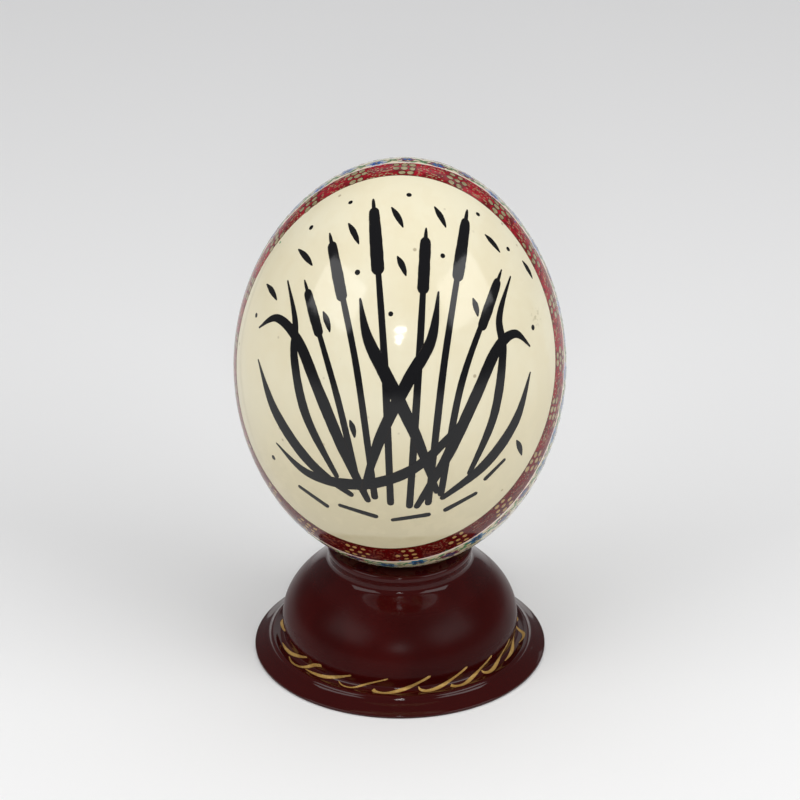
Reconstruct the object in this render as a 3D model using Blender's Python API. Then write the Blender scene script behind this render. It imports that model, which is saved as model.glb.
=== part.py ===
"""A painted ostrich egg standing in its turned and lacquered stand.

Metres, +Z up. The origin is on the table, under the middle of the stand's foot.
The painted front of the egg looks along -Y.
"""

import math

import bmesh
import bpy
from mathutils import Matrix, Vector, geometry

MM = 0.001

# Driving dimensions of the egg.
EGG_WIDTH = 110.0 * MM
EGG_LENGTH = 142.0 * MM
EGG_MIDDLE_Z = 106.9 * MM
EGG_BROAD_END = 0.011      # how much fuller the lower half is
EGG_POLE_TAPER = -0.027    # how much both ends are slimmer than an ellipse
EGG_CROWN_LEAN = 1.3 * MM  # the top of the shell grew this far towards +X
EGG_RINGS = 28

# Driving dimensions of the stand.
SEAT_GAP = 0.3 * MM        # air between the shell and the dish it rests in
SEAT_RADIUS = 17.4 * MM
SEAT_RINGS = 6
COLLAR_RADIUS = 23.4 * MM
COLLAR_TOP_Z = 39.6 * MM
COLLAR_SIDE = 1.2 * MM     # from the collar's crest out to its side
CREASE_RADIUS = 25.0 * MM
CREASE_Z = 32.9 * MM
BULB_RADIUS = 40.0 * MM
BULB_Z = 11.0 * MM
WAIST_RADIUS = 39.1 * MM
WAIST_Z = 6.9 * MM
LEDGE_RADIUS = 41.2 * MM
LEDGE_Z = 4.95 * MM
RIDGE_RADIUS = 42.7 * MM
RIDGE_Z = 5.15 * MM
RIM_RADIUS = 49.5 * MM
RIM_THICKNESS = 0.9 * MM
FOOT_EASE = 0.3 * MM       # small rounding where the rim meets the table

SEGMENTS = 64
WELD = 0.00001


def clear_scene():
    for item in list(bpy.data.objects):
        bpy.data.objects.remove(item, do_unlink=True)


def painted(name, colour, roughness, coat):
    material = bpy.data.materials.new(name)
    material.use_nodes = True
    shader = material.node_tree.nodes["Principled BSDF"]
    shader.inputs["Base Color"].default_value = (*colour, 1.0)
    shader.inputs["Roughness"].default_value = roughness
    shader.inputs["Metallic"].default_value = 0.0
    shader.inputs["Coat Weight"].default_value = coat
    material.diffuse_color = (*colour, 1.0)
    return material


def egg_point(turn):
    """Radius and height on the shell; turn runs from 0 at the bottom to pi at the top."""
    side = math.sin(turn)
    down = math.cos(turn)
    fullness = 1.0 + EGG_BROAD_END * down + EGG_POLE_TAPER * down * down
    return EGG_WIDTH / 2 * side * fullness, EGG_MIDDLE_Z - EGG_LENGTH / 2 * down


def egg_turn_at(radius):
    """The turn at which the underside of the shell reaches this radius."""
    low = 0.0
    high = math.pi / 2
    for _ in range(40):
        middle = (low + high) / 2
        if egg_point(middle)[0] < radius:
            low = middle
        else:
            high = middle
    return (low + high) / 2


def sweep_to(start, end, steps):
    """A curved stretch between two knots, without its first point.

    A knot is (radius, height, slope in degrees, handle before, handle after); slope 0 runs
    outwards and -90 runs down.
    """
    out_angle = math.radians(start[2])
    in_angle = math.radians(end[2])
    first = Vector((start[0], start[1], 0.0))
    last = Vector((end[0], end[1], 0.0))
    leave = first + start[4] * Vector((math.cos(out_angle), math.sin(out_angle), 0.0))
    arrive = last - end[3] * Vector((math.cos(in_angle), math.sin(in_angle), 0.0))
    curve = geometry.interpolate_bezier(first, leave, arrive, last, steps + 1)
    return [(point.x, point.y) for point in curve[1:]]


def egg_outline():
    return [egg_point(math.pi * step / EGG_RINGS) for step in range(EGG_RINGS, -1, -1)]


def stand_outline():
    """The stand's section, from the middle of the dish over the collar down to the foot."""
    seat_turn = egg_turn_at(SEAT_RADIUS)
    outline = []
    for step in range(SEAT_RINGS + 1):
        radius, height = egg_point(seat_turn * step / SEAT_RINGS)
        outline.append((radius, height - SEAT_GAP))
    lip = (*outline[-1], 20.0, 0.0, 0.8 * MM)
    crest = (COLLAR_RADIUS, COLLAR_TOP_Z, 0.0, 2.4 * MM, 0.9 * MM)
    side = (COLLAR_RADIUS + COLLAR_SIDE, COLLAR_TOP_Z - 1.4 * MM, -86.0, 0.8 * MM, 1.2 * MM)
    crease = (CREASE_RADIUS, CREASE_Z, -43.0, 2.6 * MM, 5.9 * MM)
    widest = (BULB_RADIUS, BULB_Z, -90.0, 11.6 * MM, 2.4 * MM)
    waist = (WAIST_RADIUS, WAIST_Z, -90.0, 1.5 * MM, 1.1 * MM)
    ledge = (LEDGE_RADIUS, LEDGE_Z, 0.0, 1.0 * MM, 0.5 * MM)
    ridge = (RIDGE_RADIUS, RIDGE_Z, 0.0, 0.5 * MM, 1.2 * MM)
    apron = (RIDGE_RADIUS + 3.1 * MM, RIDGE_Z - 1.9 * MM, -33.0, 1.3 * MM, 1.2 * MM)
    brim = (RIM_RADIUS - 0.5 * MM, RIM_THICKNESS + 0.35 * MM, -20.0, 1.6 * MM, 0.3 * MM)
    edge = (RIM_RADIUS, RIM_THICKNESS - 0.15 * MM, -90.0, 0.3 * MM, 0.0)
    stretches = [
        (lip, crest, 4),
        (crest, side, 3),
        (side, crease, 4),
        (crease, widest, 9),
        (widest, waist, 4),
        (waist, ledge, 3),
        (ledge, ridge, 2),
        (ridge, apron, 3),
        (apron, brim, 2),
        (brim, edge, 2),
    ]
    for start, end, steps in stretches:
        outline += sweep_to(start, end, steps)
    outline.append((RIM_RADIUS, FOOT_EASE))
    outline.append((RIM_RADIUS - FOOT_EASE, 0.0))
    outline.append((0.0, 0.0))
    return outline


def turned(name, outline, material):
    """A solid of revolution about Z from its half section, as one closed smooth body."""
    shape = bmesh.new()
    section = [shape.verts.new((radius, 0.0, height)) for radius, height in outline]
    edges = [shape.edges.new(pair) for pair in zip(section[:-1], section[1:])]
    bmesh.ops.spin(
        shape,
        geom=section + edges,
        cent=(0.0, 0.0, 0.0),
        axis=(0.0, 0.0, 1.0),
        angle=2 * math.pi,
        steps=SEGMENTS,
        use_merge=True,
    )
    bmesh.ops.remove_doubles(shape, verts=shape.verts, dist=WELD)
    bmesh.ops.recalc_face_normals(shape, faces=shape.faces)
    mesh = bpy.data.meshes.new(name)
    shape.to_mesh(mesh)
    shape.free()
    mesh.shade_smooth()
    mesh.set_sharp_from_angle(angle=math.radians(50.0))
    mesh.materials.append(material)
    body = bpy.data.objects.new(name, mesh)
    bpy.context.scene.collection.objects.link(body)
    return body


def lean_crown(egg):
    """The upper half of the shell curves over a little, growing with the square of the height."""
    half = EGG_LENGTH / 2
    for vertex in egg.data.vertices:
        rise = max(0.0, (vertex.co.z - EGG_MIDDLE_Z) / half)
        vertex.co.x += EGG_CROWN_LEAN * rise * rise


def build():
    clear_scene()
    shell = painted("ivory_shell", (0.80, 0.75, 0.58), 0.25, 0.8)
    lacquer = painted("maroon_lacquer", (0.045, 0.006, 0.005), 0.12, 1.0)
    egg = turned("egg", egg_outline(), shell)
    lean_crown(egg)
    turned("stand", stand_outline(), lacquer)


build()
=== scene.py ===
import math
import random

import bmesh
import bpy
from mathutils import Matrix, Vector, geometry


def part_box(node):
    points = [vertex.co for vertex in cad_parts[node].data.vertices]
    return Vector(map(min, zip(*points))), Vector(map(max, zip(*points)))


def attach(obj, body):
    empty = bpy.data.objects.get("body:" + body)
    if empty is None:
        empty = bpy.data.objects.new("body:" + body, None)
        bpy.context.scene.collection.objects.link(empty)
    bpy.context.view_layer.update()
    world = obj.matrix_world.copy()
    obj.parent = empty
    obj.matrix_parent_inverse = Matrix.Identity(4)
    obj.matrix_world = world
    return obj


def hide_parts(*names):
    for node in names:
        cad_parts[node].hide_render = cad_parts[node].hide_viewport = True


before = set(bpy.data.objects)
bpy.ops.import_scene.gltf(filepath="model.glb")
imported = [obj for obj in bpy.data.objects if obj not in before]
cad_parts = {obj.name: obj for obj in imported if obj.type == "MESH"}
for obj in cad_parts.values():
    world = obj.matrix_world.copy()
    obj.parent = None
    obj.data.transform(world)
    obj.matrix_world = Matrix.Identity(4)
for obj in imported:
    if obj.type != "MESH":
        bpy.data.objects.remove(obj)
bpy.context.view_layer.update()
mm = 0.001
weld = 0.001 * mm    # points closer than this are merged

eggLow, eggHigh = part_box("egg")
print("frame loaded")


# Node trees written as sums

class Wire:
    # one socket's value, which can be added, multiplied and so on
    def __init__(self, bench, socket):
        self.bench = bench
        self.socket = socket

    def math(self, operation, *others, last=False):
        values = (*others, self) if last else (self, *others)
        return self.bench.add("Math", {"operation": operation}, dict(enumerate(values)))

    def __add__(self, other):
        return self.math("ADD", other)

    def __radd__(self, other):
        return self.math("ADD", other)

    def __sub__(self, other):
        return self.math("SUBTRACT", other)

    def __rsub__(self, other):
        return self.math("SUBTRACT", other, last=True)

    def __mul__(self, other):
        return self.math("MULTIPLY", other)

    def __rmul__(self, other):
        return self.math("MULTIPLY", other)

    def __abs__(self):
        return self.math("ABSOLUTE")

    def ramp(self, low, high):
        # 0 below low, 1 above high, smooth between
        return self.bench.add(
            "MapRange",
            {"interpolation_type": "SMOOTHSTEP"},
            {"Value": self, "From Min": low, "From Max": high},
        )


class Finish:
    # one material and its nodes
    def __init__(self, name, viewport):
        self.material = bpy.data.materials.new(name)
        self.material.use_nodes = True
        self.material.diffuse_color = (*viewport, 1.0)
        self.tree = self.material.node_tree
        self.shader = self.tree.nodes["Principled BSDF"]

    def add(self, kind, settings, sockets, out=0):
        node = self.tree.nodes.new("ShaderNode" + kind)
        for key, value in settings.items():
            setattr(node, key, value)
        for key, value in sockets.items():
            self.feed(node.inputs[key], value)
        return Wire(self, node.outputs[out])

    def feed(self, socket, value):
        if isinstance(value, Wire):
            self.tree.links.new(value.socket, socket)
        elif socket.type == "RGBA":
            socket.default_value = (*value, 1.0)
        else:
            socket.default_value = value

    def place(self):
        # Object coordinates
        return self.add("TexCoord", {}, {}, out=3)

    def along(self, mapName):
        return self.add("UVMap", {"uv_map": mapName}, {})

    def parts(self, vector):
        split = self.add("SeparateXYZ", {}, {0: vector})
        outputs = split.socket.node.outputs
        return Wire(self, outputs[0]), Wire(self, outputs[1]), Wire(self, outputs[2])

    def grain(self, vector, scale, detail):
        return self.add("TexNoise", {}, {"Vector": vector, "Scale": scale, "Detail": detail})

    def specks(self, vector, scale, size, picked):
        # round specks that fade out over the distances in size, in the cells whose draw passes picked
        cells = self.add("TexVoronoi", {}, {"Vector": vector, "Scale": scale})
        draw = self.add("SeparateColor", {}, {0: Wire(self, cells.socket.node.outputs[1])})
        return (1 - cells.ramp(*size)) * draw.ramp(*picked)

    def stretched(self, vector, scale):
        return self.add("Mapping", {}, {"Vector": vector, "Scale": scale})

    def mix(self, share, under, over):
        return self.add(
            "Mix", {"data_type": "RGBA", "clamp_factor": True}, {0: share, 6: under, 7: over}, out=2
        )

    def bump(self, height, distance, strength):
        return self.add("Bump", {}, {"Height": height, "Distance": distance, "Strength": strength})

    def done(self, **sockets):
        for key, value in sockets.items():
            self.feed(self.shader.inputs[key.replace("_", " ")], value)
        return self.material


# The egg's skin

shellForm = {
    "broadEnd": 0.011,     # how much fuller the lower half is
    "poleTaper": -0.027,   # how much both ends are slimmer than an ellipse
    "crownLean": 1.3 * mm,
    "inset": 0.1 * mm,     # room for the paint inside the box of the solid
    "facing": 26.2,        # how far above level the painted front is looked at, in degrees
    "rings": 180,
    "segments": 256,
}
eggMiddle = (eggLow.z + eggHigh.z) / 2
eggHalfLength = (eggHigh.z - eggLow.z) / 2 - shellForm["inset"]
eggHalfWidth = (eggHigh.y - eggLow.y) / 2 - shellForm["inset"]


def shellProfile(turn):
    # radius, height and the outward direction; turn 0 is the bottom, pi the top
    side, down = math.sin(turn), math.cos(turn)
    broad, taper = shellForm["broadEnd"], shellForm["poleTaper"]
    fullness = 1 + broad * down + taper * down * down
    radius = eggHalfWidth * side * fullness
    height = eggMiddle - eggHalfLength * down
    widening = eggHalfWidth * (down * fullness - side * side * (broad + 2 * taper * down))
    rising = eggHalfLength * side
    length = math.hypot(widening, rising)
    return radius, height, rising / length, -widening / length


def shellSpot(turn, azimuth, lift=0.0):
    # azimuth 0 is the painted front, +90 degrees is the viewer's right
    radius, height, out, up = shellProfile(turn)
    radius += lift * out
    height += lift * up
    rise = max(0.0, -math.cos(turn))
    lean = shellForm["crownLean"] * rise * rise
    return Vector((radius * math.sin(azimuth) + lean, -radius * math.cos(azimuth), height))


def skinSpot(point, lift):
    # the place on the skin under any point near it
    rise = max(0.0, (point.z - eggMiddle) / eggHalfLength)
    x = point.x - shellForm["crownLean"] * rise * rise
    wide = math.hypot(x, point.y) / eggHalfWidth
    down = (eggMiddle - point.z) / eggHalfLength
    return shellSpot(math.atan2(wide, down), math.atan2(x, -point.y), lift)


def skinNormal(point):
    flat = Vector((point.x, point.y, (point.z - eggMiddle) * (eggHalfWidth / eggHalfLength) ** 2))
    return flat.normalized()


def facedSpot(x, v):
    # the place on the skin seen x to the right of the shell's middle and v above it, in millimetres,
    # from in front and a little above
    tilt = math.radians(shellForm["facing"])
    start = Vector((x, v * math.sin(tilt), v * math.cos(tilt))) * mm
    ray = Vector((0.0, -math.cos(tilt), math.sin(tilt)))
    scale = Vector((1 / eggHalfWidth, 1 / eggHalfWidth, 1 / eggHalfLength))
    near, along = start * scale, ray * scale
    half, square = near.dot(along), along.dot(along)
    reach = (math.sqrt(max(0.0, half * half - square * (near.dot(near) - 1))) - half) / square
    return skinSpot(Vector((0.0, 0.0, eggMiddle)) + start + ray * reach, 0.0)


# Thin films of paint

filmForm = {
    "thickness": 0.05 * mm,
    "sunk": 0.02 * mm,     # the film's underside lies this far inside what it is painted on
    "layer": 0.006 * mm,   # paint over paint stands this much higher
}
filmTop = filmForm["thickness"] - filmForm["sunk"]    # above what it is painted on
layer = filmForm["layer"]


def smoothPath(knots, steps):
    # a smooth curve through knots, of which every component is smoothed alike
    path = []
    last = len(knots) - 1
    for i in range(last):
        before, start, end, after = knots[max(i - 1, 0)], knots[i], knots[i + 1], knots[min(i + 2, last)]
        leave = start + (end - before) / 6
        arrive = end - (after - start) / 6
        path += geometry.interpolate_bezier(start, leave, arrive, end, steps + 1)[:-1]
    return path + [knots[-1]]


def newFilm():
    film = bmesh.new()
    film.loops.layers.uv.new("Stroke")
    return film


def writeStroke(film, spots):
    # spots holds every new vertex's place along and across its stroke
    uv = film.loops.layers.uv["Stroke"]
    for face in {face for vertex in spots for face in vertex.link_faces}:
        for loop in face.loops:
            loop[uv].uv = spots[loop.vert]


def strip(film, steps, across):
    # a flat strip; its vertices come with their place along it (0 to 1) and across it (-1 to 1)
    grid = bmesh.ops.create_grid(film, x_segments=steps, y_segments=across, size=1.0)["verts"]
    return [(vertex, (vertex.co.x + 1) / 2, vertex.co.y) for vertex in grid]


def ribbon(film, path, across, lift):
    # a strip of paint on the shell; each point of path is (place, half width)
    places = [place for place, half in path]
    count = len(path) - 1
    spots = {}
    for vertex, along, side in strip(film, count, across):
        step = round(along * count)
        ahead, behind = places[min(step + 1, count)], places[max(step - 1, 0)]
        sideways = skinNormal(places[step]).cross(ahead - behind).normalized()
        vertex.co = skinSpot(places[step] + sideways * (side * path[step][1]), lift)
        spots[vertex] = (along, side / 2 + 0.5)
    writeStroke(film, spots)


def dab(film, centre, heading, halfLong, halfWide, lift, corners, point=0.0):
    # an oval touch of the brush; point sharpens its leading end
    out = skinNormal(centre)
    forward = (heading - heading.dot(out) * out).normalized()
    sideways = out.cross(forward)
    fan = corners > 7     # a large dab follows the shell's bulge
    made = bmesh.ops.create_circle(film, cap_ends=True, cap_tris=fan, segments=corners, radius=1.0)
    spots = {}
    for vertex in made["verts"]:
        u, v = vertex.co.x, vertex.co.y
        spots[vertex] = (u / 2 + 0.5, v / 2 + 0.5)
        narrow = 1 - point * max(0.0, u) ** 2
        vertex.co = skinSpot(centre + forward * (u * halfLong) + sideways * (v * halfWide * narrow), lift)
    writeStroke(film, spots)


def closeFilm(film, name, material, normalAt):
    # gives the paint its thickness, so that every touch is a closed body
    bmesh.ops.recalc_face_normals(film, faces=film.faces)
    made = bmesh.ops.extrude_face_region(film, geom=film.faces[:], use_keep_orig=True)["geom"]
    depth = filmForm["thickness"]
    for item in made:
        if isinstance(item, bmesh.types.BMVert):
            item.co -= normalAt(item.co) * depth
    bmesh.ops.recalc_face_normals(film, faces=film.faces)
    finishPiece(film, name, material)


def placed(name, data):
    thing = bpy.data.objects.new(name, data)
    bpy.context.scene.collection.objects.link(thing)
    return thing


def finishPiece(shape, name, material, sharp=50):
    # sharp is the angle in degrees past which an edge shows as one
    mesh = bpy.data.meshes.new(name)
    shape.to_mesh(mesh)
    shape.free()
    mesh.shade_smooth()
    mesh.set_sharp_from_angle(angle=math.radians(sharp))
    mesh.materials.append(material)
    piece = placed(name, mesh)
    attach(piece, "root")
    return piece


# Turned bodies

def turned(outline, segments):
    shape = bmesh.new()
    section = [shape.verts.new((radius, 0.0, height)) for radius, height in outline]
    edges = [shape.edges.new(pair) for pair in zip(section[:-1], section[1:])]
    bmesh.ops.spin(
        shape,
        geom=section + edges,
        cent=(0.0, 0.0, 0.0),
        axis=(0.0, 0.0, 1.0),
        angle=2 * math.pi,
        steps=segments,
        use_merge=True,
    )
    bmesh.ops.remove_doubles(shape, verts=shape.verts, dist=weld)
    bmesh.ops.recalc_face_normals(shape, faces=shape.faces)
    return shape


# The shell

groundPaint = {
    "cream": (0.82, 0.768, 0.578),
    "warm": (0.75, 0.665, 0.45),
    # painted shade, for the lower part of the shell
    "paintedShade": (0.585, 0.515, 0.335),
    "stain": (0.30, 0.24, 0.10),
    "speck": (0.20, 0.13, 0.05),
    "runHeight": 0.0705,                     # of the run of varnish below the medallion, in metres
    "wornPatch": (0.0455, -0.0255, 0.1385),  # its middle, in metres
}


def shellFinish():
    f = Finish("ivoryGround", groundPaint["cream"])
    place = f.place()
    x, y, z = f.parts(place)
    cloud = f.grain(place, 22, 4)
    fine = f.grain(place, 160, 3)
    brushed = f.grain(f.stretched(place, (60, 60, 9)), 1.0, 3)
    # painted shade: low rises towards the bottom of the shell, where the ground is painted darker
    low = 1 - z.ramp(0.055, 0.150)
    colour = f.mix(cloud.ramp(0.40, 0.66) * 0.45, groundPaint["cream"], groundPaint["warm"])
    colour = f.mix(brushed.ramp(0.46, 0.62) * 0.30, colour, groundPaint["warm"])
    colour = f.mix(low * (0.80 + 0.25 * cloud), colour, groundPaint["paintedShade"])
    colour = f.mix(fine.ramp(0.50, 0.62) * 0.18, colour, groundPaint["warm"])
    # a run of old varnish along the foot of the medallion
    wander = f.grain(place, 45, 3)
    run = 1 - abs(z + wander * 0.012 - groundPaint["runHeight"]).ramp(0.0004, 0.0030)
    colour = f.mix(run * fine.ramp(0.45, 0.65) * 0.20, colour, groundPaint["stain"])
    # and one down its left side, on a plane that cuts the shell
    cut = x * -1.62 + y * -16.8 + (z - 0.107) * 5.2
    side = (1 - abs(cut + wander * 0.06 - 0.43).ramp(0.004, 0.030)) * (1 - x.ramp(-0.046, -0.038))
    side = side * z.ramp(0.080, 0.100) * (1 - z.ramp(0.145, 0.160))
    colour = f.mix(side * (0.2 + fine) * 0.20, colour, groundPaint["stain"])
    # sparse specks
    speck = f.specks(place, 210.0, (0.07, 0.17), (0.86, 0.90))
    colour = f.mix(speck * 0.55, colour, groundPaint["speck"])
    # a worn patch at the right
    dx, dy, dz = (axis - middle for axis, middle in zip((x, y, z), groundPaint["wornPatch"]))
    far = (dx * dx + dy * dy * 0.5 + dz * dz * 0.35).math("SQRT")
    flecks = f.grain(place, 760, 2)
    worn = (1 - far.ramp(0.001, 0.0042)) * flecks.ramp(0.54, 0.60)
    colour = f.mix(worn * 0.75, colour, groundPaint["stain"])
    height = f.grain(place, 60, 2) * 0.7 + fine * 0.3
    return f.done(
        Base_Color=colour,
        Specular_IOR_Level=0.38,
        Roughness=0.055 + 0.06 * cloud.ramp(0.35, 0.7) + worn * 0.3,
        Normal=f.bump(height, 0.25 * mm, 0.35),
    )


def makeShell():
    rings = shellForm["rings"]
    outline = [shellProfile(math.pi * step / rings)[:2] for step in range(rings, -1, -1)]
    outline[0] = (0.0, outline[0][1])
    outline[-1] = (0.0, outline[-1][1])
    shape = turned(outline, shellForm["segments"])
    for vertex in shape.verts:
        rise = max(0.0, (vertex.co.z - eggMiddle) / eggHalfLength)
        vertex.co.x += shellForm["crownLean"] * rise * rise
    shell = finishPiece(shape, "egg_shell", shellFinish(), sharp=180)
    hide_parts("egg")


makeShell()
print("shell made")


# The medallion: its outline is an ellipse drawn on the unit sphere that stands for the shell

medallion = {
    "azimuth": -5.5,    # degrees, to the viewer's left
    "elevation": 21.65,
    "side": 72.3,       # half angle across
    "up": 62.5,         # half angle along
    "roll": 8.9,
    "band": 10.8,       # the crimson band's width, in degrees
    "bandGrows": 1.0,   # how far that width swings to both sides on the way round
    "paleLine": 0.9 * mm,
    "darkLine": 0.35 * mm,
    "steps": 480,
}


def medallionFrame():
    turnBy, raiseBy = math.radians(medallion["azimuth"]), math.radians(medallion["elevation"])
    axis = Vector((
        math.sin(turnBy) * math.cos(raiseBy),
        -math.cos(turnBy) * math.cos(raiseBy),
        math.sin(raiseBy),
    ))
    right = Vector((math.cos(turnBy), math.sin(turnBy), 0.0))
    return axis, right, axis.cross(right)


medallionAxes = medallionFrame()


def roundSpot(theta, spread):
    # theta runs round the medallion from its right; spread is the angle away from its middle
    axis, right, upward = medallionAxes
    ray = axis * math.cos(spread) + (right * math.cos(theta) + upward * math.sin(theta)) * math.sin(spread)
    return shellSpot(math.acos(max(-1.0, min(1.0, -ray.z))), math.atan2(ray.x, -ray.y))


def innerSpread(theta):
    rolled = theta - math.radians(medallion["roll"])
    side, up = math.radians(medallion["side"]), math.radians(medallion["up"])
    return 1 / math.hypot(math.cos(rolled) / side, math.sin(rolled) / up)


def outerSpread(theta):
    width = medallion["band"] + medallion["bandGrows"] * math.sin(2 * theta)
    return innerSpread(theta) + math.radians(width)


class RoundLine:
    # a closed line round the medallion, measured along its length
    def __init__(self, spreadAt):
        steps = medallion["steps"]
        self.spreadAt = spreadAt
        self.reached = [0.0]
        place = roundSpot(0.0, spreadAt(0.0))
        for i in range(1, steps + 1):
            theta = 2 * math.pi * i / steps
            ahead = roundSpot(theta, spreadAt(theta))
            self.reached.append(self.reached[-1] + (ahead - place).length)
            place = ahead
        self.length = self.reached[-1]

    def spot(self, distance, offset):
        # a place beside the line, with the directions ahead and outward there
        distance = distance % self.length
        i = 0
        while self.reached[i + 1] < distance:
            i += 1
        part = (distance - self.reached[i]) / (self.reached[i + 1] - self.reached[i])
        theta = 2 * math.pi * (i + part) / (len(self.reached) - 1)
        centre = roundSpot(theta, self.spreadAt(theta))
        ahead = roundSpot(theta + 0.01, self.spreadAt(theta + 0.01)) - centre
        outward = ahead.cross(skinNormal(centre)).normalized()
        return skinSpot(centre + outward * offset, 0.0), ahead.normalized(), outward


def closedRibbon(film, inner, outer, across, lift):
    # a ring of paint between two spreads
    spots = {}
    for vertex, along, sideways in strip(film, medallion["steps"], across):
        theta, side = 2 * math.pi * along, (sideways + 1) / 2
        spread = inner(theta) * (1 - side) + outer(theta) * side
        spots[vertex] = (along, side)
        vertex.co = skinSpot(roundSpot(theta, spread), lift)
    writeStroke(film, spots)
    bmesh.ops.remove_doubles(film, verts=list(spots), dist=weld)


bandPaint = {
    "crimson": (0.35, 0.003, 0.016),
    "blood": (0.17, 0.002, 0.003),
    "maroon": (0.058, 0.0015, 0.0015),
}


def bandFinish():
    f = Finish("crimsonBand", bandPaint["crimson"])
    place = f.place()
    z = f.parts(place)[2]
    streak = f.grain(place, 90, 4)
    blot = f.grain(place, 320, 3)
    # crimson at the top, darker red low down: partly the paint's own tone, partly painted shade
    colour = f.mix(z.ramp(0.055, 0.155), bandPaint["blood"], bandPaint["crimson"])
    colour = f.mix(streak.ramp(0.44, 0.66) * 0.65, colour, bandPaint["blood"])
    colour = f.mix(blot.ramp(0.48, 0.62) * 0.65, colour, bandPaint["maroon"])
    # maroon at the very bottom: partly the paint's own tone, partly painted shade
    colour = f.mix((1 - z.ramp(0.045, 0.110)) * 0.85, colour, bandPaint["maroon"])
    return f.done(
        Base_Color=colour,
        Specular_IOR_Level=0.14,
        Roughness=0.07 + 0.08 * streak,
        Normal=f.bump(streak + blot * 0.5, 0.15 * mm, 0.4),
    )


def plainPaint(name, colour, other, scale=260, low=None):
    # one paint with the uneven cover of a small brush; low is its colour on the lower part of the shell
    f = Finish(name, colour)
    place = f.place()
    cover = f.grain(place, scale, 3)
    shown = f.mix(cover.ramp(0.38, 0.66), colour, other)
    if low:
        shown = f.mix(f.parts(place)[2].ramp(0.050, 0.125), low, shown)
    return f.done(
        Base_Color=shown,
        Specular_IOR_Level=0.25,
        Roughness=0.10 + 0.08 * cover,
        Normal=f.bump(cover, 0.08 * mm, 0.35),
    )


def makeBand():
    film = newFilm()
    closedRibbon(film, innerSpread, outerSpread, 10, filmTop)
    closeFilm(film, "crimson_band", bandFinish(), skinNormal)

    def lineIn(theta):
        return innerSpread(theta) + medallion["darkLine"] / eggHalfWidth

    def lineOut(theta):
        return outerSpread(theta) + medallion["paleLine"] / eggHalfWidth

    film = newFilm()
    closedRibbon(film, innerSpread, lineIn, 1, filmTop + layer)
    brown = plainPaint("umberLine", (0.05, 0.022, 0.008), (0.16, 0.07, 0.03))
    closeFilm(film, "band_inner_line", brown, skinNormal)
    film = newFilm()
    closedRibbon(film, outerSpread, lineOut, 1, filmTop + layer)
    pale = plainPaint("paleLine", (0.86, 0.74, 0.64), (0.84, 0.62, 0.53))
    closeFilm(film, "band_outer_line", pale, skinNormal)


makeBand()
print("band made")


# Spots, specks and dashes on the band

spotForm = {
    "clusters": 21,
    "cluster": 8.4 * mm,      # length of a group of spots along the band
    "rows": (-3.3 * mm, 0.0, 3.3 * mm),
    "pitch": 2.75 * mm,
    "halfAlong": 1.10 * mm,
    "halfAcross": 1.30 * mm,
    "rim": 0.30 * mm,         # the dark line round each spot
    "tries": 280,             # specks tried in each group's stretch of the band
    "speckGap": 0.95 * mm,
    "edge": 4.75 * mm,        # how far from the band's middle the specks go
    # specks stay off a group up to the first of these on both sides of the band's middle line,
    # and off this share of its length up to the second
    "clear": (4.4 * mm, 4.5 * mm, 0.55),
    "darkShare": 0.35,        # of the specks
    "stripes": 4,
    "stripeHalf": 0.24 * mm,
    "seed": 11,
}


def middleSpread(theta):
    return (innerSpread(theta) + outerSpread(theta)) / 2


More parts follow.
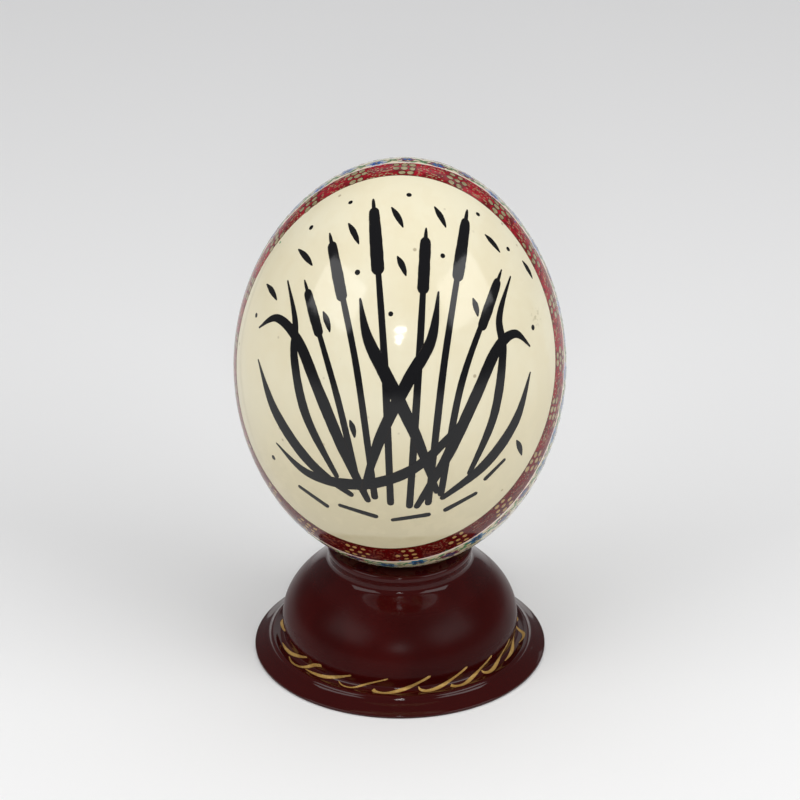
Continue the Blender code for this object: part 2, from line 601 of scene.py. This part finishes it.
def makeSpots():
    dice = random.Random(spotForm["seed"])
    middle = RoundLine(middleSpread)
    period = middle.length / spotForm["clusters"]
    lift = filmTop + 2 * layer
    rims, spots, specks = newFilm(), newFilm(), newFilm()
    rim = spotForm["rim"]
    reach = spotForm["cluster"] / 2
    fullTo, partTo, part = spotForm["clear"]
    for group in range(spotForm["clusters"]):
        start = group * period
        for number, row in enumerate(spotForm["rows"]):
            count = 3 if number == 1 else dice.choice((2, 2, 3))
            slide = dice.uniform(-0.5, 0.5) * spotForm["pitch"] if count == 3 else 0.0
            for column in range(count):
                inside = reach + (column - (count - 1) / 2) * spotForm["pitch"]
                distance = start + inside + slide + dice.uniform(-0.22, 0.22) * mm
                centre, ahead, outward = middle.spot(distance, row + dice.uniform(-0.25, 0.25) * mm)
                heading = ahead + outward * dice.uniform(-0.45, 0.45)
                # the spots are smaller low on the shell
                small = 1 - 0.22 * max(0.0, min(1.0, (0.11 - centre.z) / 0.05))
                long = spotForm["halfAlong"] * dice.uniform(0.80, 1.10) * small
                wide = spotForm["halfAcross"] * dice.uniform(0.76, 1.04) * small
                dab(rims, centre, heading, long + rim, wide + rim, lift, corners=12)
                dab(spots, centre, heading, long, wide, lift + 1.5 * layer, corners=12, point=0.12)
        # specks fill what is left up to the next group
        taken = []
        for attempt in range(spotForm["tries"]):
            distance = start + dice.uniform(-0.4 * mm, period - 0.4 * mm)
            offset = dice.uniform(-1, 1) * spotForm["edge"]
            clear = reach if abs(offset) < fullTo else reach * part
            if abs(offset) < partTo and abs(distance - start - reach) < clear:
                continue
            if any((distance - d) ** 2 + (offset - o) ** 2 < spotForm["speckGap"] ** 2 for d, o in taken):
                continue
            taken.append((distance, offset))
            centre, ahead, outward = middle.spot(distance, offset)
            heading = ahead + outward * dice.uniform(-0.6, 0.6)
            long, wide = dice.uniform(0.28, 0.54) * mm, dice.uniform(0.22, 0.36) * mm
            film = rims if dice.random() < spotForm["darkShare"] else specks
            dab(film, centre, heading, long, wide, lift, corners=6)
        # longer slanting touches beside the groups
        for stripe in range(spotForm["stripes"]):
            offset = dice.uniform(-3.6, 3.8) * mm
            begin = start + spotForm["cluster"] + dice.uniform(0.2, 4.0) * mm
            length = dice.uniform(1.8, 3.2) * mm
            slant = dice.uniform(-0.9, 0.9) * mm
            path = []
            for step in range(7):
                share = step / 6
                centre = middle.spot(begin + length * share, offset + slant * share)[0]
                path.append((centre, spotForm["stripeHalf"] * math.sin(math.pi * (0.08 + 0.84 * share))))
            ribbon(specks, path, 1, lift + layer)
    dark = plainPaint("spotRims", (0.060, 0.006, 0.004), (0.10, 0.020, 0.010), 420)
    buff = plainPaint("buffSpots", (0.38, 0.32, 0.18), (0.22, 0.19, 0.09), 700, low=(0.40, 0.23, 0.08))
    tan = plainPaint("buffSpecks", (0.38, 0.30, 0.17), (0.27, 0.16, 0.08), 520, low=(0.17, 0.055, 0.032))
    closeFilm(rims, "band_spot_rims", dark, skinNormal)
    closeFilm(spots, "band_spots", buff, skinNormal)
    closeFilm(specks, "band_specks", tan, skinNormal)


makeSpots()
print("spots made")


# Flowers, leaves and vines over the rest of the shell, in rings that close in on its back

fieldForm = {
    "first": 4.7 * mm,       # the first ring's distance from the band
    "gap": 12.4 * mm,
    "rings": 8,
    "pitch": 10.8 * mm,      # from blossom to blossom
    "aside": 1.3 * mm,       # the blossoms stand this far to either side of the ring's middle line
    "sway": 2.3 * mm,        # the vine swings this far to both sides
    "vineHalf": 0.26 * mm,
    "petals": 6,
    # each petal's distance from the blossom's middle, its half length and its half width
    "outerPetal": (2.15 * mm, 1.45 * mm, 1.08 * mm),
    "innerPetal": (1.15 * mm, 1.10 * mm, 0.66 * mm),
    "eye": 0.58 * mm,
    "leaf": (1.85 * mm, 0.78 * mm),
    "leafAside": 3.9 * mm,   # from a blossom's middle to the olive leaves on both its sides
    "budAside": 5.3 * mm,    # from the ring's middle line to the buds
    "dotAside": 6.0 * mm,    # and to the dots
    "edgeLeaves": 4.4 * mm,  # from leaf to leaf along the band's outer edge
    "maroonShare": 0.22,     # of the blossoms
    "lowest": 40.5 * mm,     # below this the stand's dish hides the shell
    "seed": 23,
}
fieldPaint = {
    "violet": ((0.45, 0.46, 0.56), (0.33, 0.40, 0.49)),
    "blue": ((0.006, 0.070, 0.34), (0.012, 0.140, 0.33)),
    "green": ((0.035, 0.24, 0.10), (0.070, 0.30, 0.16)),
    "olive": ((0.150, 0.105, 0.028), (0.26, 0.19, 0.06)),
    "maroon": ((0.13, 0.010, 0.030), (0.22, 0.03, 0.08)),
}
lowPaint = {"blue": (0.001, 0.055, 0.14), "violet": (0.030, 0.14, 0.24)}


def makeFlowers():
    dice = random.Random(fieldForm["seed"])
    films = {name: newFilm() for name in fieldPaint}
    outerReach, outerLong, outerWide = fieldForm["outerPetal"]
    innerReach, innerLong, innerWide = fieldForm["innerPetal"]
    leafLong, leafWide = fieldForm["leaf"]

    def blossom(centre, ahead, outward, size, outer="violet"):
        start = dice.uniform(0, math.pi)
        for petal in range(fieldForm["petals"]):
            angle = start + 2 * math.pi * petal / fieldForm["petals"]
            ray = ahead * math.cos(angle) + outward * math.sin(angle)
            far, near = centre + ray * (outerReach * size), centre + ray * (innerReach * size)
            dab(films[outer], far, ray, outerLong * size, outerWide * size, filmTop + layer, 9)
            dab(films["blue"], near, ray, innerLong * size, innerWide * size, filmTop + 2 * layer, 8)
        eye = fieldForm["eye"] * size
        dab(films["olive"], centre, ahead, eye, eye, filmTop + 3 * layer, 8)

    def leaf(name, centre, ray, size):
        dab(films[name], centre, ray, leafLong * size, leafWide * size, filmTop, 9, point=0.8)

    for ring in range(fieldForm["rings"]):
        away = fieldForm["first"] + ring * fieldForm["gap"]

        def ringSpread(theta):
            # the rings are evenly spaced between the band and the middle of the back
            share = away / (fieldForm["first"] + fieldForm["rings"] * fieldForm["gap"])
            return outerSpread(theta) * (1 - share) + math.pi * share

        line = RoundLine(ringSpread)
        count = max(5, round(line.length / fieldForm["pitch"]))
        pitch = line.length / count
        for number in range(count):
            start = number * pitch
            side = 1 if number % 2 else -1
            centre, ahead, outward = line.spot(start, side * fieldForm["aside"])
            if centre.z < fieldForm["lowest"]:
                continue
            size = dice.uniform(0.88, 1.06)
            outer = "maroon" if dice.random() < fieldForm["maroonShare"] else "violet"
            blossom(centre, ahead, outward, size, outer)
            for across in (-1, 1):
                leaf("olive", centre + ahead * (across * fieldForm["leafAside"]), ahead * across, 0.72)
            path = []
            for step in range(11):
                swing = -side * fieldForm["sway"] * math.cos(math.pi * step / 10)
                path.append((line.spot(start + pitch * step / 10, swing)[0], fieldForm["vineHalf"]))
            ribbon(films["olive"], path, 1, filmTop + 0.5 * layer)
            # leaves where the vine crosses over, and buds and dots on both sides of the ring
            for share, turn in ((0.34, 0.8), (0.50, -0.9), (0.66, 0.8)):
                place, forward, beside = line.spot(start + share * pitch, side * (share - 0.5) * 5 * mm)
                ray = forward * math.cos(turn) + beside * math.sin(turn) * side
                leaf("green", place + ray * 1.9 * mm, ray, dice.uniform(0.8, 1.1))
            for across in (-1, 1):
                place, forward, beside = line.spot(start + 0.5 * pitch, across * fieldForm["budAside"])
                ray = forward * dice.uniform(-1, 1) + beside * across
                leaf(dice.choice(("maroon", "maroon", "violet")), place, ray.normalized(), 0.62)
                place = line.spot(start + 0.04 * pitch, across * fieldForm["dotAside"])[0]
                dot = dice.uniform(0.38, 0.62) * mm
                dab(films[dice.choice(("blue", "green", "maroon"))], place, forward, dot, dot, filmTop, 7)
    # small leaves along the band's outer edge
    edge = RoundLine(outerSpread)
    count = round(edge.length / fieldForm["edgeLeaves"])
    for number in range(count):
        start = (number + dice.uniform(0.2, 0.8)) * edge.length / count
        place, forward, outward = edge.spot(start, dice.uniform(1.9, 2.7) * mm)
        if place.z < fieldForm["lowest"]:
            continue
        ray = forward + outward * dice.uniform(-0.35, 0.35)
        leaf(dice.choice(("green", "green", "blue", "olive")), place, ray, dice.uniform(0.45, 0.70))
    # one larger blossom in the middle of the back
    heart = roundSpot(0.0, math.pi)
    blossom(heart, Vector((1.0, 0.0, 0.0)), Vector((0.0, 0.0, 1.0)), 1.25)
    # a stray touch of green on the ivory
    dab(films["green"], facedSpot(-40.2, 39.5), Vector((1.0, 0.0, 0.0)), 0.5 * mm, 0.4 * mm, filmTop, 7)
    for name, film in films.items():
        paint = plainPaint(name + "Paint", *fieldPaint[name], 420, low=lowPaint.get(name))
        closeFilm(film, "flowers_" + name, paint, skinNormal)


makeFlowers()
print("flowers made")


# Stand

standForm = {
    # radius, height, slope in degrees, handle before, handle after, steps; millimetres
    "knots": (
        (23.4, 39.6, 0.0, 2.4, 0.9, 14),
        (24.6, 38.2, -86.0, 0.8, 1.2, 10),
        (25.0, 32.9, -43.0, 2.6, 5.9, 14),
        (40.0, 11.0, -90.0, 11.6, 2.4, 44),
        (39.35, 6.3, -90.0, 1.5, 0.9, 12),
        (41.2, 4.8, 0.0, 0.9, 0.6, 12),
        (43.2, 5.2, 0.0, 0.6, 0.55, 10),
        (44.35, 4.35, -66.0, 0.45, 0.40, 12),
        (45.6, 3.25, -28.0, 0.6, 1.0, 10),
        (49.0, 1.25, -26.0, 1.3, 0.3, 8),
        (49.5, 0.75, -90.0, 0.3, 0.0, 5),
    ),
    "seat": 17.4 * mm,
    "seatGap": 0.3 * mm,
    "seatRings": 16,
    "ease": 0.3 * mm,
    "segments": 224,
}


def sweepTo(start, end, steps):
    a, b = math.radians(start[2]), math.radians(end[2])
    first, last = Vector((start[0], start[1], 0.0)), Vector((end[0], end[1], 0.0))
    leave = first + start[4] * Vector((math.cos(a), math.sin(a), 0.0))
    arrive = last - end[3] * Vector((math.cos(b), math.sin(b), 0.0))
    curve = geometry.interpolate_bezier(first, leave, arrive, last, steps + 1)
    return [(point.x * mm, point.y * mm) for point in curve[1:]]


def seatOutline():
    # the dish follows the shell's underside at a small gap
    low, high = 0.0, math.pi / 2
    for halving in range(40):
        middle = (low + high) / 2
        if shellProfile(middle)[0] < standForm["seat"]:
            low = middle
        else:
            high = middle
    gap = standForm["seatGap"] + shellForm["inset"]
    rings = standForm["seatRings"]
    spots = [shellProfile(low * step / rings)[:2] for step in range(rings + 1)]
    return [(radius, height - gap) for radius, height in spots]


def standSection():
    knots = standForm["knots"]
    seat = seatOutline()
    lip = (seat[-1][0] / mm, seat[-1][1] / mm, 20.0, 0.0, 0.8)
    section = seat + sweepTo(lip, knots[0], knots[0][5])
    for start, end in zip(knots[:-1], knots[1:]):
        section += sweepTo(start, end, end[5])
    return section


standLine = standSection()
crestIndex = standForm["seatRings"] + standForm["knots"][0][5]
standReached = [0.0]
for spotA, spotB in zip(standLine[crestIndex:-1], standLine[crestIndex + 1:]):
    standReached.append(standReached[-1] + math.hypot(spotB[0] - spotA[0], spotB[1] - spotA[1]))


def standSpot(distance, azimuth, lift):
    # distance runs outwards and down over the stand from the collar's crest
    i = 0
    while i < len(standReached) - 2 and standReached[i + 1] < distance:
        i += 1
    share = (distance - standReached[i]) / (standReached[i + 1] - standReached[i])
    (r0, z0), (r1, z1) = standLine[crestIndex + i], standLine[crestIndex + i + 1]
    length = math.hypot(r1 - r0, z1 - z0)
    out, up = (z0 - z1) / length, (r1 - r0) / length
    radius = r0 + (r1 - r0) * share + out * lift
    height = z0 + (z1 - z0) * share + up * lift
    return Vector((radius * math.sin(azimuth), -radius * math.cos(azimuth), height))


lacquerPaint = {
    "maroon": (0.040, 0.0028, 0.0024),
    "deep": (0.020, 0.0014, 0.0012),
    "footMaroon": (0.032, 0.0010, 0.0007),
    "dust": (0.40, 0.30, 0.26),
}


def lacquerFinish():
    f = Finish("maroonLacquer", lacquerPaint["maroon"])
    place = f.place()
    z = f.parts(place)[2]
    cloud = f.grain(place, 34, 4)
    fine = f.grain(place, 240, 3)
    rings = f.grain(f.stretched(place, (6, 6, 420)), 1.0, 2)
    colour = f.mix(cloud.ramp(0.42, 0.62) * 0.5, lacquerPaint["maroon"], lacquerPaint["deep"])
    # the foot below the ledge is painted a darker, deeper maroon
    apron = (1 - z.ramp(0.0035, 0.0062)) * (0.55 + 0.45 * cloud)
    colour = f.mix(apron, colour, lacquerPaint["footMaroon"])
    dust = f.specks(place, 150.0, (0.035, 0.075), (0.93, 0.95))
    colour = f.mix(dust * 0.5, colour, lacquerPaint["dust"])
    height = cloud * 0.8 + fine * 0.06 + rings * 0.10 + dust * 0.4
    # the domed body is a little hazy, and the foot and the collar have one more coat
    coat = 0.45 * (1 - z.ramp(0.0062, 0.0085)) + 0.28 * z.ramp(0.0262, 0.0300)
    haze = z.ramp(0.009, 0.015) * (1 - z.ramp(0.027, 0.032))
    return f.done(
        Base_Color=colour,
        Specular_IOR_Level=0.08,
        Roughness=0.08 + 0.05 * cloud.ramp(0.40, 0.70) + 0.20 * haze + dust * 0.3,
        Coat_Weight=coat,
        Coat_Roughness=0.06,
        Normal=f.bump(height, 0.3 * mm, 0.30),
    )


def makeStand():
    rim = standForm["knots"][-1][0] * mm
    outline = standLine + [(rim, standForm["ease"]), (rim - standForm["ease"], 0.0), (0.0, 0.0)]
    outline[0] = (0.0, outline[0][1])
    shape = turned(outline, standForm["segments"])
    stand = finishPiece(shape, "lacquered_stand", lacquerFinish(), sharp=60)
    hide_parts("stand")


makeStand()
print("stand made")


# Gold brush strokes round the stand's ledge

goldForm = {
    # azimuth in degrees from the stroke's start, distance over the stand in mm, half width in mm
    "kinds": {
        "plain": ((0, 42.3, 0.12), (6, 42.1, 0.52), (12, 41.4, 0.64), (20, 39.4, 0.52), (26, 37.4, 0.30)),
        "wave": (
            (0, 42.8, 0.15), (5, 43.8, 0.44), (9, 43.5, 0.6), (13, 41.4, 0.6), (18, 39.0, 0.64),
            (23, 37.6, 0.68),
        ),
        "thin": (
            (0, 41.2, 0.12), (3, 42.4, 0.28), (7, 42.4, 0.34), (12, 40.6, 0.35), (18, 38.6, 0.32),
            (24, 36.7, 0.24),
        ),
        "broad": (
            (0, 41.6, 0.60), (2, 42.6, 0.70), (6, 42.9, 0.74), (12, 41.5, 0.66), (19, 39.6, 0.56),
            (27, 36.2, 0.52),
        ),
        "hooked": (
            (0, 40.3, 0.2), (1, 41.5, 0.5), (4, 42.2, 0.66), (9, 41.5, 0.64), (16, 39.6, 0.56),
            (24, 36.0, 0.52),
        ),
    },
    # where each stroke starts, in degrees, and its kind
    "strokes": (
        (-78, "plain"), (-65, "wave"), (-51, "plain"), (-31, "thin"), (-13, "broad"), (9, "hooked"),
        (25, "broad"), (44, "hooked"), (60, "plain"), (78, "wave"), (97, "hooked"), (115, "plain"),
        (133, "broad"), (150, "thin"), (168, "wave"), (187, "hooked"), (205, "plain"), (223, "broad"),
        (241, "thin"), (258, "hooked"),
    ),
    "degree": 0.7,           # millimetres of ledge in one degree
    "blunt": (0.97, 0.031),  # where along a stroke its rounded end starts, and how long that end is
    "seed": 5,
}
goldPaint = {
    "viewport": (0.42, 0.25, 0.07),
    "gold": (0.60, 0.38, 0.11),
    "dull": (0.45, 0.25, 0.06),
    "bright": (0.74, 0.54, 0.23),
    "edge": (0.20, 0.08, 0.02),
}


def standNormal(point):
    # outwards from the stand's surface at a point on it
    radius = math.hypot(point.x, point.y)
    best = min(
        range(crestIndex, len(standLine) - 1),
        key=lambda i: (standLine[i][0] - radius) ** 2 + (standLine[i][1] - point.z) ** 2,
    )
    (r0, z0), (r1, z1) = standLine[max(best - 1, crestIndex)], standLine[best + 1]
    length = math.hypot(r1 - r0, z1 - z0)
    out, up = (z0 - z1) / length, (r1 - r0) / length
    return Vector((out * point.x / radius, out * point.y / radius, up))


def goldFinish():
    f = Finish("dullGold", goldPaint["viewport"])
    stroke = f.along("Stroke")
    v = f.parts(stroke)[1]
    hairs = f.grain(f.stretched(stroke, (3, 26, 1)), 1.0, 3)
    flake = f.grain(f.place(), 900, 2)
    edge = abs(v - 0.5).ramp(0.30, 0.5)
    colour = f.mix(hairs.ramp(0.38, 0.64), goldPaint["gold"], goldPaint["dull"])
    colour = f.mix(flake.ramp(0.55, 0.70) * 0.5, colour, goldPaint["bright"])
    colour = f.mix(edge * 0.5, colour, goldPaint["edge"])
    return f.done(
        Base_Color=colour,
        Metallic=0.35,
        Roughness=0.30 + 0.2 * hairs,
        Normal=f.bump(hairs, 0.12 * mm, 0.6),
    )


def makeGold():
    dice = random.Random(goldForm["seed"])
    film = newFilm()
    degree = goldForm["degree"]
    bluntFrom, bluntLong = goldForm["blunt"]
    for start, kind in goldForm["strokes"]:
        reach = dice.uniform(0.94, 1.06)
        knots = [
            Vector((azimuth * reach, distance, half))
            for azimuth, distance, half in goldForm["kinds"][kind]
        ]
        path = smoothPath(knots, 8)
        count = len(path) - 1
        spots = {}
        for vertex, along, side in strip(film, count, 6):
            step = round(along * count)
            here = path[step]
            ahead, behind = path[min(step + 1, count)], path[max(step - 1, 0)]
            slope = Vector(((ahead.x - behind.x) * degree, ahead.y - behind.y)).normalized()
            blunt = math.sqrt(max(0.0, 1 - max(0.0, (along - bluntFrom) / bluntLong) ** 2))
            half = here.z * side * blunt
            azimuth = math.radians(start + here.x - slope.y * half / degree)
            vertex.co = standSpot((here.y + slope.x * half) * mm, azimuth, filmTop)
            spots[vertex] = (along, side / 2 + 0.5)
        writeStroke(film, spots)
    closeFilm(film, "gold_strokes", goldFinish(), standNormal)


makeGold()
print("gold made")


# Black brushwork: bulrushes, blades, leaves and seeds on the medallion

inkPaint = {
    "black": (0.0065, 0.0065, 0.0075),
    "thin": (0.035, 0.018, 0.008),
}


def inkFinish():
    f = Finish("blackBrushwork", inkPaint["black"])
    stroke = f.along("Stroke")
    u, v = f.parts(stroke)[:2]
    place = f.place()
    hairs = f.grain(f.stretched(stroke, (5, 22, 1)), 1.0, 3)
    pool = f.grain(place, 120, 3)
    ends = abs(u - 0.5).ramp(0.36, 0.5)
    edge = abs(v - 0.5).ramp(0.34, 0.5)
    thin = (ends * 0.5 + edge * 0.5) * hairs.ramp(0.42, 0.62) * pool.ramp(0.42, 0.60)
    return f.done(
        Base_Color=f.mix(thin, inkPaint["black"], inkPaint["thin"]),
        Specular_IOR_Level=0.32,
        Roughness=0.06 + 0.06 * pool.ramp(0.4, 0.7),
        Normal=f.bump(hairs * 0.08 + pool, 0.14 * mm, 0.4),
    )


inkForm = {
    "closer": (0.0, 0.05, 0.2, 0.5),  # the first step of a stroke is cut at these shares of it
    "tremble": 0.03,                  # how unsteady the hand is
    "fades": 0.8,                     # how much of that lasts from one step to the next
    "leastHalf": 0.14,                # half widths in millimetres, at least this, and this at both ends
    "endHalf": 0.03,
}


def inkStroke(film, knots, layers, dice, steps=12):
    # knots are x, v and the half width in millimetres, as facedSpot takes them
    path = smoothPath([Vector((x, half, v)) for x, v, half in knots], steps)
    closer, tremble = inkForm["closer"], inkForm["tremble"]
    path = (
        [path[0].lerp(path[1], share) for share in closer]
        + path[1:-1]
        + [path[-1].lerp(path[-2], share) for share in reversed(closer)]
    )
    places = [facedSpot(spot.x, spot.z) for spot in path]
    reached = [0.0]
    for start, end in zip(places[:-1], places[1:]):
        reached.append(reached[-1] + (end - start).length)
    line = []
    drift = 0.0
    for spot, place, here in zip(path, places, reached):
        drift = inkForm["fades"] * drift + dice.uniform(-tremble, tremble)
        half = max(inkForm["leastHalf"], spot.y * (1 + drift)) * mm
        # both ends are rounded off
        near = min(1.0, min(here, reached[-1] - here) / half)
        line.append((place, max(inkForm["endHalf"] * mm, half * math.sqrt(1 - (1 - near) ** 2))))
    ribbon(film, line, 4, filmTop + layers * layer)


# all in millimetres, as facedSpot takes them
brushwork = {
    # foot, bend and top of each bulrush, then the length and half width of its head
    "bulrushes": (
        ((-13, -40), (-20, -10), (-30.5, 24), 15, 1.7),
        ((-8, -43), (-14, 0), (-23, 39), 19, 1.9),
        ((-3, -45), (-5, 2), (-9, 50), 22, 2.0),
        ((3, -46), (6, 0), (8.5, 40), 18, 1.9),
        ((9, -45), (14, 0), (22, 46), 20, 1.9),
        ((13, -42), (19.5, -6), (32, 27), 16, 1.7),
    ),
    # x, v and half width along each blade
    "blades": (
        # long blades that arch outwards
        ((-10, -44, 1.0), (-18, -27, 1.9), (-26, -8, 2.1), (-33, 8, 1.9), (-40, 15, 1.3), (-46, 12, 0.3)),
        ((-15, -42, 1.0), (-29, -31, 2.0), (-40, -15, 2.0), (-46, 2, 0.3)),
        ((5, -46, 1.0), (15, -29, 1.9), (24, -10, 2.1), (31, 5, 1.9), (37, 10, 1.3), (42, 6, 0.3)),
        ((13, -43, 1.0), (27, -32, 2.0), (37, -18, 1.9), (42, -2, 0.3)),
        # blades that lean across the stems
        ((12, -41, 1.0), (5, -22, 1.8), (-4, -4, 2.1), (-10.5, 9, 1.6), (-13, 21, 0.3)),
        ((-12, -41, 1.0), (-6, -22, 1.8), (3, -4, 2.0), (10, 8, 1.7), (12.5, 23, 0.3)),
        # upright blades
        ((-20, -36, 0.9), (-30, -16, 1.7), (-34, 2, 1.6), (-34, 14, 1.2), (-37, 27, 0.3)),
        ((22, -35, 0.9), (30, -16, 1.7), (33, 4, 1.6), (32, 15, 1.2), (36, 28, 0.3)),
        # one that bows low across the front
        ((-40, -25, 0.3), (-29, -35, 1.7), (-12, -38, 2.1), (4, -33, 1.9), (17, -21, 1.2), (23, -12, 0.3)),
    ),
    # straight touches for the water: x, v and half width at both ends
    "ripples": (
        ((-33, -39, 0.8), (-23, -46, 1.0)), ((-20, -45, 0.8), (-7, -49, 1.0)),
        ((-3, -50, 0.8), (10, -48, 1.0)), ((14, -47, 1.0), (25, -41, 0.8)),
        ((27, -37, 0.9), (34, -30, 0.7)),
    ),
    # slim leaves adrift: x, v, direction in degrees, length
    "leaves": (
        (-17.5, 45, -62, 8), (-3, 50, -60, 8), (-1, 34, -65, 7), (11.5, 50, -62, 8), (28, 41, -50, 7.5),
        (-34, 37, -48, 7.5), (-44, 26, -55, 6.5), (-25, 17, -70, 7), (-16, -17, -75, 6),
        (23.5, 21, -75, 6), (37.5, -24, -70, 5.5), (40, 33, -60, 6.5),
    ),
    "leafBend": 0.2,
    # round seeds adrift: x, v, radius
    "seeds": (
        (-30, 44, 0.9), (-17, 52, 0.8), (3, 54, 0.9), (26, 47.5, 0.8), (43, 12, 0.9), (-47, 16, 0.8),
        (-14, 29, 0.9), (35.5, 36.5, 0.8), (-41, -30, 0.9), (14, 34, 0.8), (-3, 16, 0.8),
    ),
    # share of a bulrush head's length, and of its half width there
    "head": ((0.0, 0.8), (0.08, 1.0), (0.45, 1.06), (0.85, 0.94), (1.0, 0.7)),
    "stemHalf": 1.15,
    "seed": 31,
}


def makeBrushwork():
    dice = random.Random(brushwork["seed"])
    film = newFilm()
    stemHalf = brushwork["stemHalf"]
    for (x0, v0), (x1, v1), (x2, v2), headLength, headHalf in brushwork["bulrushes"]:
        lean = (x2 - x1) / (v2 - v1)
        tip = ((x2 - 4 * lean, v2 - 4, 0.8), (x2 + 3 * lean, v2 + 3, 0.25))
        inkStroke(film, ((x0, v0, stemHalf), (x1, v1, stemHalf), *tip), 1, dice)
        knots = [
            (x2 - lean * headLength * (1 - share), v2 - headLength * (1 - share), headHalf * width)
            for share, width in brushwork["head"]
        ]
        inkStroke(film, knots, 2, dice)
    for number, knots in enumerate(brushwork["blades"]):
        inkStroke(film, knots, 3 + number % 6, dice)
    for knots in brushwork["ripples"]:
        inkStroke(film, knots, 1, dice)
    bend = brushwork["leafBend"]
    for x, v, direction, length in brushwork["leaves"]:
        turn = math.radians(direction)
        cx, cv = math.cos(turn) * length, math.sin(turn) * length
        sx, sv = -math.sin(turn) * bend, math.cos(turn) * bend
        knots = (
            (x, v, 0.2),
            (x + 0.35 * cx + sx, v + 0.35 * cv + sv, 1.0),
            (x + 0.70 * cx + sx, v + 0.70 * cv + sv, 0.85),
            (x + cx, v + cv, 0.2),
        )
        inkStroke(film, knots, 0, dice, steps=7)
    for x, v, radius in brushwork["seeds"]:
        ahead = facedSpot(x + 1, v) - facedSpot(x, v)
        dab(film, facedSpot(x, v), ahead, radius * mm, radius * mm, filmTop, corners=18)
    closeFilm(film, "black_brushwork", inkFinish(), skinNormal)


makeBrushwork()
print("brushwork made")


# Floor, lights and camera

studio = {
    "floor": 6.0,
    "floorColour": (0.86, 0.86, 0.86),
    "world": (0.18, 0.18, 0.185),
    # name: azimuth and elevation in degrees; distance, width and height in metres; radiance
    "windows": {
        "left": (-59.0, 33.0, 1.0, 0.69, 0.44, 2.9),
        "right": (59.0, 33.0, 1.0, 0.69, 0.44, 3.3),
        "back": (168.0, 26.0, 1.6, 1.40, 0.30, 0.6),
    },
    # like the windows, but not mirrored in the varnish
    "fills": {
        "leftFill": (-59.0, 33.0, 1.0, 0.69, 0.44, 1.4),
        "rightFill": (59.0, 33.0, 1.0, 0.69, 0.44, 1.5),
        "ceiling": (0.0, 88.0, 1.30, 2.40, 2.20, 0.92),
    },
    # azimuth, elevation, width, height of each small lamp
    "lamps": ((-0.2, 25.2, 0.17, 0.034), (-0.9, 22.0, 0.13, 0.020), (-1.6, 19.8, 0.09, 0.018)),
    "lampDistance": 1.15,
    "lampRadiance": 60.0,
    "aim": (0.0, 0.0, 0.10),
}
cameraForm = {
    "distance": 1.2,     # in front of the stand's middle
    "height": 0.7211,    # above the floor
    "pitch": 27.61,      # down, in degrees
    "lens": 183.7,
}


def bearing(azimuth, elevation):
    a, e = math.radians(azimuth), math.radians(elevation)
    return Vector((math.sin(a) * math.cos(e), -math.cos(a) * math.cos(e), math.sin(e)))


def placeLight(name, azimuth, elevation, distance, width, height, radiance, shape):
    light = bpy.data.lights.new(name, "AREA")
    light.shape = shape
    light.size = width
    light.size_y = height
    area = width * height * (math.pi / 4 if shape == "ELLIPSE" else 1.0)
    light.energy = math.pi * area * radiance
    holder = placed(name, light)
    ray = bearing(azimuth, elevation)
    holder.location = Vector(studio["aim"]) + ray * distance
    holder.rotation_euler = (-ray).to_track_quat("-Z", "Y").to_euler()
    return holder


def makeStudio():
    shape = bmesh.new()
    bmesh.ops.create_grid(shape, x_segments=1, y_segments=1, size=studio["floor"] / 2)
    mesh = bpy.data.meshes.new("floor")
    shape.to_mesh(mesh)
    shape.free()
    f = Finish("paleFloor", studio["floorColour"])
    mesh.materials.append(f.done(Base_Color=studio["floorColour"], Roughness=0.9))
    placed("floor", mesh)
    for name, form in studio["windows"].items():
        placeLight(name, *form, "RECTANGLE")
    for name, form in studio["fills"].items():
        placeLight(name, *form, "RECTANGLE").visible_glossy = False
    away, radiance = studio["lampDistance"], studio["lampRadiance"]
    for number, (azimuth, elevation, wide, high) in enumerate(studio["lamps"]):
        placeLight(f"lamp{number}", azimuth, elevation, away, wide, high, radiance, "ELLIPSE")
    world = bpy.data.worlds.new("studio")
    world.use_nodes = True
    world.node_tree.nodes["Background"].inputs["Color"].default_value = (*studio["world"], 1.0)
    bpy.context.scene.world = world
    bpy.context.scene.view_settings.view_transform = "Standard"


def makeCamera():
    lens = bpy.data.cameras.new("camera")
    lens.sensor_width = 36.0
    lens.lens = cameraForm["lens"]
    lens.clip_start = 0.05
    lens.clip_end = 50.0
    camera = placed("camera", lens)
    camera.location = (0.0, -cameraForm["distance"], cameraForm["height"])
    camera.rotation_euler = (math.radians(90 - cameraForm["pitch"]), 0.0, 0.0)
    bpy.context.scene.camera = camera


makeStudio()
makeCamera()
print("studio made")
